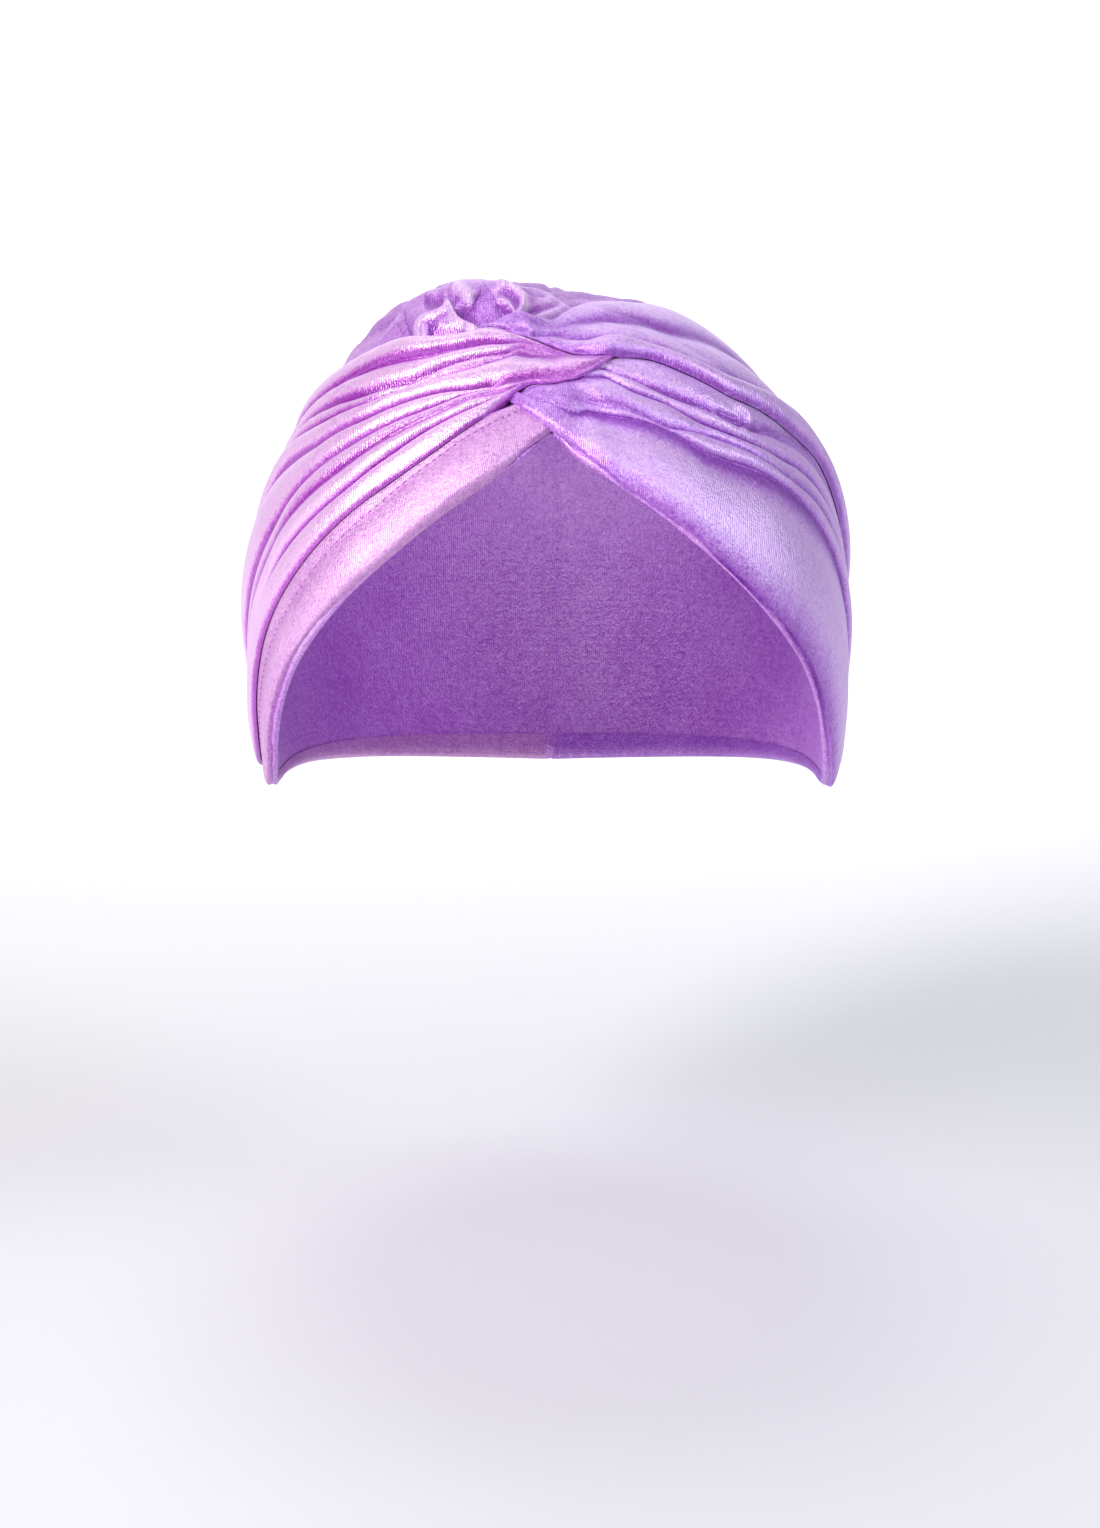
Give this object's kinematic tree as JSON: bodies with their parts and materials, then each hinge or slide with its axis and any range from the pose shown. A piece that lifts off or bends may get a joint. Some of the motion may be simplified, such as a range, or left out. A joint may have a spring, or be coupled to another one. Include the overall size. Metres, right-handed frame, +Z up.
{
  "type": "turban headwrap",
  "caption": "Pre-tied satin turban headwrap: a stretch cap with pleated wraps that cross at the forehead and a twisted tuck at the front of the crown.",
  "frame": {"origin": "highest point of the hollow, where the crown of the head bears", "axes": "+Z up, -Y out of the face opening, +Y to the back of the head, -X to the left of a viewer who faces the opening"},
  "size_m": [0.1685, 0.1905, 0.1566],
  "materials": {
    "crown_cap": "satin stretch knit",
    "left_hem_band": "satin stretch knit, turned and stitched",
    "left_wrap": "satin stretch knit, pleated",
    "right_lower_wrap": "satin stretch knit",
    "right_upper_wrap": "satin stretch knit, pleated",
    "top_tuck": "satin stretch knit, twisted"
  },
  "bodies": {
    "root": {"crown_cap": "crown_cap", "left_hem_band": "left_hem_band", "left_wrap": "left_wrap", "right_lower_wrap": "right_lower_wrap", "right_upper_wrap": "right_upper_wrap", "top_tuck": "top_tuck"}
  },
  "joints": []
}
